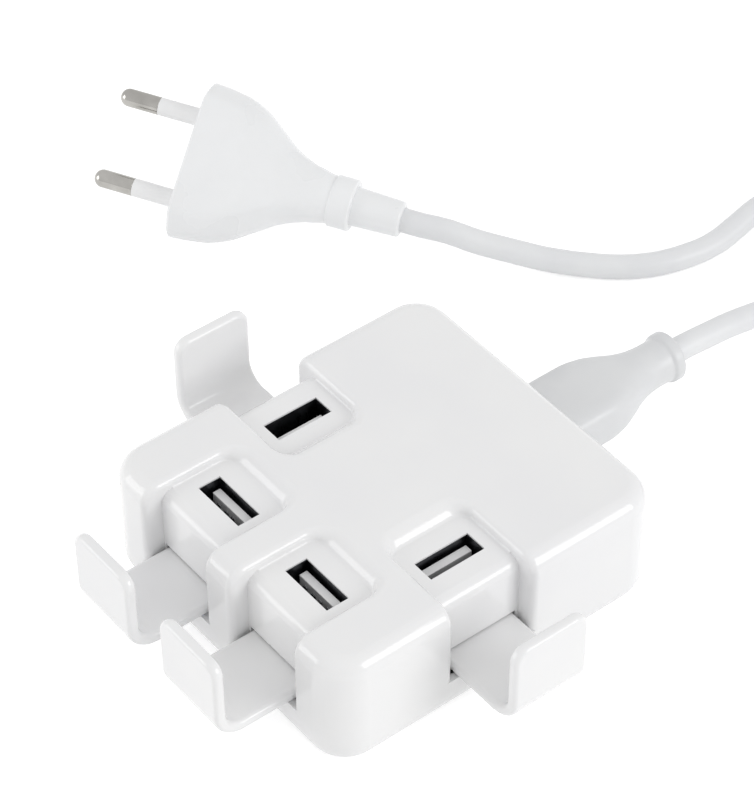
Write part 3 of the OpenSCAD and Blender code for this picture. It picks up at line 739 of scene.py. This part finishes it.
@dataclass
class MainsLead:
    """The white mains lead: two stretches in view and the rest wound in a coil behind.

    Attributes:
        shelf: Where the materials come from.
        diameter_mm: Diameter of the lead.
        coil_centre_mm: Centre of the coil on the floor.
        coil_outer_mm: Radius of the line of the outermost turn.
        lower_pitch_mm: How much each lower turn is smaller than the last.
        upper_pitch_mm: How much each upper turn is larger than the last.
        lower_turns: Turns before the lead climbs to the upper layer.
        climb_turns: Part of a turn that the climb takes.
        turns: Turns in all.
        start_deg: Direction from the centre where the coil begins.
        layer_z_mm: Height of the lead's line in each layer.
        points_per_turn: Points worked out for each turn, of which every other one is used.
        near_mm: Route from the grip to the coil.
        far_mm: Route from the coil to the plug.
        plug_at_mm: Middle of the plug's face.
        plug_turn_deg: The plug's yaw and pitch.
        plug_roll_deg: The plug's roll about its own axis.
        plug_reach_mm: Distance from the plug's face to the end of its strain relief.
        straight_mm: Straight stretch before the strain relief.
    """

    shelf: FinishShelf
    diameter_mm: float = 5.4
    coil_centre_mm: tuple[float, float] = (22.0, 163.7)
    coil_outer_mm: float = 39.35
    lower_pitch_mm: float = 5.45
    upper_pitch_mm: float = 5.8
    lower_turns: float = 2.74
    climb_turns: float = 0.2
    turns: float = 5.67
    start_deg: float = -86.4
    layer_z_mm: tuple[float, float] = (3.5, 8.9)
    points_per_turn: int = 36
    near_mm: Sequence[Point] = (
        (0, 74.15, 14.8), (0, 78.15, 14.8), (0.1, 84, 14.4), (0.2, 90, 13.9),
        (0.3, 95.4, 13), (0.5, 101, 11.9), (1.3, 106.6, 10.7), (3.6, 112.2, 9.1),
        (7.4, 117, 7.4), (12.4, 120.8, 5.8), (18, 123.4, 4.5),
    )
    far_mm: Sequence[Point] = (
        (-17.7, 171, 8.6), (-22.3, 160.4, 7.9), (-26.5, 149.6, 6.8), (-29.4, 139, 5.6),
        (-30.5, 128.5, 4.5), (-29.9, 122, 3.6), (-29.3, 116, 2.9), (-29.5, 110, 2.7),
        (-31.8, 101, 2.7), (-36, 93.8, 2.7), (-41.5, 87.6, 3), (-47, 81.8, 3.9),
        (-52, 76.6, 5.6), (-57, 71, 7.8), (-61.4, 66.3, 10.3),
    )
    plug_at_mm: Point = (-108.9, 33.3, 16.4)
    plug_turn_deg: tuple[float, float] = (33.6, -5.3)
    plug_roll_deg: float = 37.0
    plug_reach_mm: float = 48.3
    straight_mm: float = 4.0

    def plug_axis(self) -> Vector:
        """Direction from the plug's pins to its lead."""
        yaw, pitch = (math.radians(a) for a in self.plug_turn_deg)
        return Vector(
            (math.cos(yaw) * math.cos(pitch), math.sin(yaw) * math.cos(pitch), math.sin(pitch))
        )

    def coil(self) -> list[Vector]:
        """Points along the coil: in along the floor, up one layer, then out again.

        Returns:
            Points in mm, about 10 degrees apart.
        """
        points = []
        steps = round(self.turns * self.points_per_turn)
        inner = self.coil_outer_mm - self.lower_pitch_mm * (self.lower_turns + self.climb_turns)
        for i in range(steps + 1):
            t = self.turns * i / steps
            climb = min(max((t - self.lower_turns) / self.climb_turns, 0.0), 1.0)
            climb = climb * climb * (3 - 2 * climb)
            radius = self.coil_outer_mm - self.lower_pitch_mm * t
            if t > self.lower_turns + self.climb_turns:
                radius = inner + self.upper_pitch_mm * (t - self.lower_turns - self.climb_turns)
            angle = math.radians(self.start_deg + 360 * t)
            points.append(
                Vector(
                    (
                        self.coil_centre_mm[0] + radius * math.cos(angle),
                        self.coil_centre_mm[1] + radius * math.sin(angle),
                        self.layer_z_mm[0] + climb * (self.layer_z_mm[1] - self.layer_z_mm[0]),
                    )
                )
            )
        return points

    def centreline(self) -> list[Vector]:
        """Whole line of the lead, from the connector's grip to the plug's strain relief.

        Returns:
            Points in metres, close enough together to look round.
        """
        end = Vector(self.plug_at_mm) + self.plug_reach_mm * self.plug_axis()
        knots = [Vector(p) for p in self.near_mm]
        knots += self.coil()[1::2]
        knots += [Vector(p) for p in self.far_mm]
        knots += [end + self.straight_mm * self.plug_axis(), end]
        line = smooth_line(knots, 3)
        return [p * MM for p in line]

    def build(self) -> bpy.types.Object:
        """Returns:
            The lead.
        """
        line = self.centreline()
        data = bpy.data.curves.new("mains_lead", "CURVE")
        data.dimensions = "3D"
        data.bevel_depth = self.diameter_mm / 2 * MM
        data.bevel_resolution = 5
        data.use_fill_caps = True
        spline = data.splines.new("POLY")
        spline.points.add(len(line) - 1)
        for point, place in zip(spline.points, line):
            point.co = (*place, 1.0)
        spline.use_smooth = True
        lead = bpy.data.objects.new("mains_lead", data)
        bpy.context.scene.collection.objects.link(lead)
        self.shelf.paint(lead, EXTRUDED_PVC)
        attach(lead, Body.CHARGER.value)
        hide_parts("lead_near", "lead_coil", "lead_far")
        length = sum((b - a).length for a, b in zip(line, line[1:]))
        log.info("mains lead: %.3f m long, %d points", length, len(line))
        return lead


def smooth_line(knots: Sequence[Vector], steps: int) -> list[Vector]:
    """Passes one smooth line through all the knots.

    Args:
        knots: Points that the line passes through.
        steps: Pieces of line between two knots.

    Returns:
        Points along the line, with the knots among them.
    """
    line = []
    for i in range(len(knots) - 1):
        a, b = knots[i], knots[i + 1]
        before = knots[i - 1] if i else a * 2 - b
        after = knots[i + 2] if i + 2 < len(knots) else b * 2 - a
        gap = (b - a).length
        into = (b - before) / max((b - before).length, 1e-9) * gap
        out = (after - a) / max((after - a).length, 1e-9) * gap
        for k in range(steps):
            t = k / steps
            line.append(
                a * (2 * t**3 - 3 * t**2 + 1)
                + into * (t**3 - 2 * t**2 + t)
                + b * (3 * t**2 - 2 * t**3)
                + out * (t**3 - t**2)
            )
    line.append(knots[-1].copy())
    return line


# Charger


@dataclass(frozen=True)
class SunkFloor:
    """The sunk floor at one port, in the port's own frame.

    Attributes:
        port_mm: Middle of the port on the side of the housing.
        inward: Direction from there into the housing.
        half_width_mm: Half the width between the side walls.
        reach_mm: Distance from the side to the far wall.
        corner_mm: Radius of the far corners.
        floor_z_mm: Height of the floor.
        top_z_mm: Height of the top face.
        foot_shift_mm: Move of the slope's foot, away from the port.
        top_shift_mm: Move of the slope's top, away from the port.
        wall_reach_mm: How far the wall's points lie inside and outside the corner radius.
        fade: Power by which the move fades from the far wall to the side walls.
    """

    port_mm: tuple[float, float]
    inward: tuple[float, float]
    half_width_mm: float = 9.5
    reach_mm: float = 21.3
    corner_mm: float = 3.5
    floor_z_mm: float = 25.4
    top_z_mm: float = 27.8
    foot_shift_mm: float = -0.75
    top_shift_mm: float = 1.3
    wall_reach_mm: tuple[float, float] = (0.6, 1.7)
    fade: int = 3

    def ease(self, piece: bpy.types.Object) -> None:
        """Draws the far wall out into a gentle slope, as on the real moulding.

        Args:
            piece: The housing's skin, before its edges are broken.
        """
        into = Vector(self.inward)
        across = Vector((-into.y, into.x))
        straight = self.half_width_mm - self.corner_mm
        start = self.reach_mm - self.corner_mm
        for vertex in piece.data.vertices:
            rise = (vertex.co.z / MM - self.floor_z_mm) / (self.top_z_mm - self.floor_z_mm)
            place = Vector((vertex.co.x, vertex.co.y)) / MM - Vector(self.port_mm)
            u, v = place.dot(into) - start, place.dot(across)
            if not -0.02 <= rise <= 1.02 or u <= 0:
                continue
            side = max(abs(v) - straight, 0.0)
            from_axis = math.hypot(u, side)
            inside, outside = self.wall_reach_mm
            if not -inside <= from_axis - self.corner_mm <= outside:
                continue
            shift = self.foot_shift_mm + rise * (self.top_shift_mm - self.foot_shift_mm)
            shift *= (u / from_axis) ** self.fade
            outward = into * (u / from_axis) + across * math.copysign(side / from_axis, v)
            vertex.co.x += outward.x * shift * MM
            vertex.co.y += outward.y * shift * MM


@dataclass
class Charger:
    """The housing, its base, the pad and what shows through the sockets.

    Attributes:
        shelf: Where the materials come from.
        sunk_floors: The sunk floor of each port, left to right.
        housing_plan: How the housing's skin is refined.
        base_plan: The same for the base, the pad and the tongues.
        shell_plan: The same for the thin socket shells.
    """

    shelf: FinishShelf
    sunk_floors: Sequence[SunkFloor] = (
        SunkFloor((-36.55, -2.4), (1, 0)), SunkFloor((-13.65, -39.25), (0, 1)),
        SunkFloor((13.65, -39.25), (0, 1)), SunkFloor((36.55, -2.4), (-1, 0)),
    )
    housing_plan: SkinPlan = field(default_factory=lambda: SkinPlan(edge_mm=0.3))
    base_plan: SkinPlan = field(default_factory=lambda: SkinPlan(edge_mm=0.15))
    shell_plan: SkinPlan = field(
        default_factory=lambda: SkinPlan(edge_mm=0.0, join_flat=False)
    )

    def ease_floors(self, piece: bpy.types.Object) -> None:
        """Eases the far slope of every sunk floor."""
        for sunk_floor in self.sunk_floors:
            sunk_floor.ease(piece)

    def build(self) -> None:
        """Dresses every visible piece of the charger, then the hidden nodes."""
        skin = Skin(self.shelf)
        skin.dress(
            "housing", Body.CHARGER, POLISHED_ABS, self.housing_plan,
            self.ease_floors,
        )
        skin.dress("base_tray", Body.CHARGER, POLISHED_ABS, self.base_plan)
        skin.dress("base_pad", Body.CHARGER, PAD_RUBBER, self.base_plan)
        for side in ("left", "front_left", "front_right", "right"):
            # The socket shells' dark steel colour is painted shade
            skin.dress(
                f"{side}_socket_shell", Body.CHARGER, SHELL_STEEL_PAINTED_SHADE,
                self.shell_plan,
            )
            # The tongues' near-black lower part is painted shade
            skin.dress(
                f"{side}_socket_tongue", Body.CHARGER, SOCKET_NYLON_PAINTED_SHADE,
                self.base_plan,
            )
        self.dress_inner_nodes()

    def dress_inner_nodes(self) -> None:
        """Gives a finish to every node that keeps its CAD shape."""
        inner = {
            TINNED_BRONZE: ("socket_contacts",),
            SPRING_BRASS: ("connector_sleeves",),
            SOLDER_MASK: ("usb_board", "power_board"),
            PALE_ACETAL: ("slide_plate", "fuse", "connector_core"),
            ZINC_PLATE: ("base_screws", "plate_screws"),
            NICKEL_PLATE: ("inlet_pins",),
            BLACK_NYLON: (
                "inlet_socket", "rectifier", "transformer_core", "mains_capacitor",
                "output_capacitors",
            ),
            WINDING_TAPE: ("transformer_winding",),
            RED_PVC: ("board_leads",),
            BROWN_PVC: ("mains_leads",),
        }
        for finish, nodes in inner.items():
            for node in nodes:
                self.shelf.paint(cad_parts[node], finish)
        log.info("inner nodes: %d", sum(len(n) for n in inner.values()))


@dataclass
class Holders:
    """The four slide-out holders.

    Attributes:
        shelf: Where the materials come from.
        plan: How the skins are refined.
    """

    shelf: FinishShelf
    plan: SkinPlan = field(default_factory=lambda: SkinPlan(edge_mm=0.2))

    def build(self) -> None:
        """Dresses each holder on its own body."""
        skin = Skin(self.shelf)
        for body in (
            Body.LEFT_HOLDER, Body.FRONT_LEFT_HOLDER, Body.FRONT_RIGHT_HOLDER,
            Body.RIGHT_HOLDER,
        ):
            skin.dress(body.value, body, POLISHED_ABS, self.plan)


@dataclass
class LeadEnds:
    """The connector's grip and the plug, moulded on the lead's two ends.

    Attributes:
        shelf: Where the materials come from.
        crisp_plan: How the skins of the pins, strain relief and tie are refined.
        sleeve_plan: The same for the pins' thin sleeves.
        plug_stations: The plug's sections, from its face to its collar.
        grip_stations: The grip's sections, from the housing to the lead.
        grip_at_mm: Middle of the grip's end at the housing.
    """

    shelf: FinishShelf
    crisp_plan: SkinPlan = field(default_factory=lambda: SkinPlan(edge_mm=0.15))
    sleeve_plan: SkinPlan = field(
        default_factory=lambda: SkinPlan(edge_mm=0.04, segments=2)
    )
    plug_stations: Sequence[Station] = (
        Station(0, 17.0, 6.2, 18, 4.4), Station(0.6, 17.6, 6.8, 20, 4.6),
        Station(8, 16.8, 6.8, 20, 4.6), Station(13, 15, 6.7, 18, 4.4),
        Station(18, 11.6, 6.5, 14, 3.8), Station(23, 8.2, 6.2, 8, 2.8),
        Station(28, 6.2, 5.8, 3.6, -2), Station(32.4, 5.3, 5.3, 2.1),
        Station(32.8, 5.7, 5.7, 2), Station(37.1, 5.7, 5.7, 2), Station(37.5, 5.3, 5.3, 2),
    )
    grip_stations: Sequence[Station] = (
        Station(0, 8.4, 5, 4), Station(0.5, 8.75, 5.35, 4.4), Station(7, 8.8, 5.5, 4.4),
        Station(12, 8.8, 5.6, 4.2), Station(16, 8.3, 5.6, 3.6), Station(19.5, 7.2, 5.4, 2.9),
        Station(23, 5.8, 5.1, 2.3), Station(26.5, 5, 4.9, 2), Station(29.5, 4.75, 4.75, 2),
        Station(31.9, 4.8, 4.8, 2), Station(32.7, 5.3, 5.3, 2), Station(33.3, 5.4, 5.4, 2),
        Station(34.4, 5.4, 5.4, 2), Station(34.7, 5.15, 5.15, 2),
    )
    grip_at_mm: Point = (0.0, 39.45, 14.8)

    @staticmethod
    def turned(axis: str, degrees: float) -> Matrix:
        """Rotation about one axis, in degrees."""
        return Matrix.Rotation(math.radians(degrees), 4, axis)

    def plug_frame(self) -> Matrix:
        """Matrix from the plug's own frame, with +Z towards its lead, to the shared one."""
        yaw, pitch = MainsLead.plug_turn_deg
        return (
            Matrix.Translation(MainsLead.plug_at_mm) @ self.turned("Z", yaw)
            @ self.turned("Y", -pitch) @ self.turned("Z", 90) @ self.turned("X", 90)
            @ self.turned("Z", MainsLead.plug_roll_deg)
        )

    def mould(
        self, node: str, stations: Sequence[Station], turn: Matrix, finish: Finish
    ) -> bpy.types.Object:
        """Makes a smooth moulded body in the place of its CAD node.

        Args:
            node: The CAD node.
            stations: The body's sections.
            turn: Matrix from the body's own frame to the shared one.
            finish: The finish to give.

        Returns:
            The finished piece.
        """
        piece = MouldedBody(stations, turn).build(f"{node}_skin")
        self.shelf.paint(piece, finish)
        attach(piece, Body.CHARGER.value)
        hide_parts(node)
        log.info("moulded %s: %d faces", node, len(piece.data.polygons))
        return piece

    def build(self) -> list[bpy.types.Object]:
        """Dresses the grip, the plug and the tie.

        Returns:
            The pieces that the lead carries.
        """
        skin = Skin(self.shelf)
        grip_frame = Matrix.Translation(self.grip_at_mm) @ self.turned("X", -90)
        # The grip's greyer PVC is painted shade
        self.mould("connector_grip", self.grip_stations, grip_frame, GRIP_PVC_PAINTED_SHADE)
        carried = [
            self.mould("plug_body", self.plug_stations, self.plug_frame(), MOULDED_PVC),
            skin.dress("plug_boot", Body.CHARGER, MOULDED_PVC, self.crisp_plan),
            skin.dress(
                "plug_pins", Body.CHARGER, NICKEL_PLATE, self.crisp_plan
            ),
            skin.dress(
                "plug_sleeves", Body.CHARGER, SLEEVE_NYLON,
                self.sleeve_plan,
            ),
            skin.dress("coil_tie", Body.CHARGER, BLACK_NYLON, self.crisp_plan),
        ]
        return carried


# Studio


@dataclass(frozen=True)
class Lamp:
    """A soft square lamp that faces the charger.

    Attributes:
        name: The lamp's name.
        place_m: Where it stands.
        side_m: Its side.
        watts: Its power.
    """

    name: str
    place_m: Point
    side_m: float
    watts: float


@dataclass
class Studio:
    """Camera, floor and lights.

    Attributes:
        target_mm: The point that the camera turns round.
        azimuth_deg: Direction of the camera, from the front towards the right.
        elevation_deg: Height of the camera over the floor, as an angle.
        roll_deg: Turn of the camera about its own axis.
        distance_mm: Distance from the target.
        lens_mm: Focal length.
        shift: Shift of the lens, in sensor widths.
        world_strength: Strength of the soft light from all round.
        floor_size_m: Side of the floor.
        floor_glow: Light added to the floor where it is seen, so that it is white.
        paper: sRGB hex colour of the floor.
        lamp_aim_m: The point that the lamps face.
        lamps: The lamps.
    """

    target_mm: Point = (0.0, 0.0, 14.185)
    azimuth_deg: float = 51.90
    elevation_deg: float = 46.20
    roll_deg: float = -0.224
    distance_mm: float = 606.95
    lens_mm: float = 141.62
    shift: tuple[float, float] = (-0.00618, 0.15118)
    world_strength: float = 0.78
    floor_size_m: float = 8.0
    floor_glow: float = 0.45
    paper: str = "#F4F4F4"
    lamp_aim_m: Point = (0, 0, 0.01)
    lamps: Sequence[Lamp] = (
        Lamp("key_softbox", (0.88, 0.44, 0.48), 0.5, 3.2),
        Lamp("fill_softbox", (-0.64, -0.85, 0.29), 0.6, 2.5),
    )

    def add_camera(self) -> bpy.types.Object:
        """Puts the camera where the photograph was taken from.

        Returns:
            The camera.
        """
        az, el, roll = (
            math.radians(a) for a in (self.azimuth_deg, self.elevation_deg, self.roll_deg)
        )
        back = Vector(
            (math.sin(az) * math.cos(el), -math.cos(az) * math.cos(el), math.sin(el))
        )
        right = Vector((math.cos(az), math.sin(az), 0.0))
        up = back.cross(right)
        right, up = (
            right * math.cos(roll) + up * math.sin(roll),
            up * math.cos(roll) - right * math.sin(roll),
        )
        data = bpy.data.cameras.new("studio_camera")
        data.lens = self.lens_mm
        data.sensor_width = 36.0
        data.sensor_fit = "AUTO"
        data.shift_x, data.shift_y = self.shift
        data.clip_start, data.clip_end = 0.01, 20.0
        camera = bpy.data.objects.new("studio_camera", data)
        turn = Matrix((right, up, back)).transposed().to_4x4()
        place = Vector(self.target_mm) * MM + back * self.distance_mm * MM
        camera.matrix_world = Matrix.Translation(place) @ turn
        bpy.context.scene.collection.objects.link(camera)
        bpy.context.scene.camera = camera
        return camera

    def seen_ray(self, tree: bpy.types.NodeTree) -> bpy.types.NodeSocket:
        """1 where a ray comes from the camera, or by reflection or transmission.

        Args:
            tree: The node tree to add to.

        Returns:
            The output socket.
        """
        path = add_node(tree, "ShaderNodeLightPath")
        first = add_node(
            tree,
            "ShaderNodeMath",
            {"operation": "MAXIMUM"},
            i0=path.outputs["Is Camera Ray"],
            i1=path.outputs["Is Glossy Ray"],
        )
        return add_node(
            tree,
            "ShaderNodeMath",
            {"operation": "MAXIMUM"},
            i0=first.outputs[0],
            i1=path.outputs["Is Transmission Ray"],
        ).outputs[0]

    def add_world(self) -> None:
        """Lights the scene softly from all round, and shows white behind it."""
        world = bpy.data.worlds.new("studio_world")
        bpy.context.scene.world = world
        world.use_nodes = True
        tree = world.node_tree
        tree.nodes.clear()
        light = add_node(
            tree, "ShaderNodeBackground", Color=(1, 1, 1, 1), Strength=self.world_strength
        )
        white = add_node(tree, "ShaderNodeBackground", Color=(1, 1, 1, 1), Strength=1.0)
        mix = add_node(
            tree,
            "ShaderNodeMixShader",
            i0=self.seen_ray(tree),
            i1=light.outputs[0],
            i2=white.outputs[0],
        )
        add_node(tree, "ShaderNodeOutputWorld", Surface=mix.outputs[0])

    def add_floor(self) -> bpy.types.Object:
        """Makes a plain white floor that keeps the object's shadow.

        Returns:
            The floor.
        """
        bpy.ops.object.select_all(action="DESELECT")
        bpy.ops.mesh.primitive_plane_add(size=self.floor_size_m, location=(0, 0, 0))
        floor = bpy.context.active_object
        floor.name = "studio_floor"
        material = bpy.data.materials.new("studio_paper")
        material.use_nodes = True
        tree = material.node_tree
        tree.nodes.clear()
        paper = add_node(tree, "ShaderNodeBsdfDiffuse", Color=hex_to_linear(self.paper))
        glow = add_node(
            tree, "ShaderNodeEmission", Color=(1, 1, 1, 1), Strength=self.floor_glow
        )
        lift = add_node(
            tree, "ShaderNodeAddShader", i0=paper.outputs[0], i1=glow.outputs[0]
        )
        mix = add_node(
            tree,
            "ShaderNodeMixShader",
            i0=self.seen_ray(tree),
            i1=paper.outputs[0],
            i2=lift.outputs[0],
        )
        add_node(tree, "ShaderNodeOutputMaterial", Surface=mix.outputs[0])
        floor.data.materials.append(material)
        return floor

    def add_lamps(self) -> None:
        """Stands a soft key at the right and a weaker fill low at the front."""
        aim = Vector(self.lamp_aim_m)
        for lamp in self.lamps:
            data = bpy.data.lights.new(lamp.name, "AREA")
            data.shape = "RECTANGLE"
            data.size = data.size_y = lamp.side_m
            data.energy = lamp.watts
            light = bpy.data.objects.new(lamp.name, data)
            place = Vector(lamp.place_m)
            turn = (place - aim).to_track_quat("Z", "Y").to_matrix().to_4x4()
            light.matrix_world = Matrix.Translation(place) @ turn
            bpy.context.scene.collection.objects.link(light)


def main() -> None:
    """Builds the studio, the lead, the charger and the holders, in that order."""
    logging.basicConfig(level=logging.INFO, format="%(name)s: %(message)s")
    bpy.context.scene.view_settings.view_transform = "Standard"
    shelf = FinishShelf()
    studio = Studio()
    studio.add_camera()
    cable = MainsLead(shelf)
    lead = cable.build()
    studio.add_world()
    studio.add_floor()
    studio.add_lamps()
    carried = LeadEnds(shelf).build()
    Charger(shelf).build()
    Holders(shelf).build()


if __name__ == "__main__":
    main()
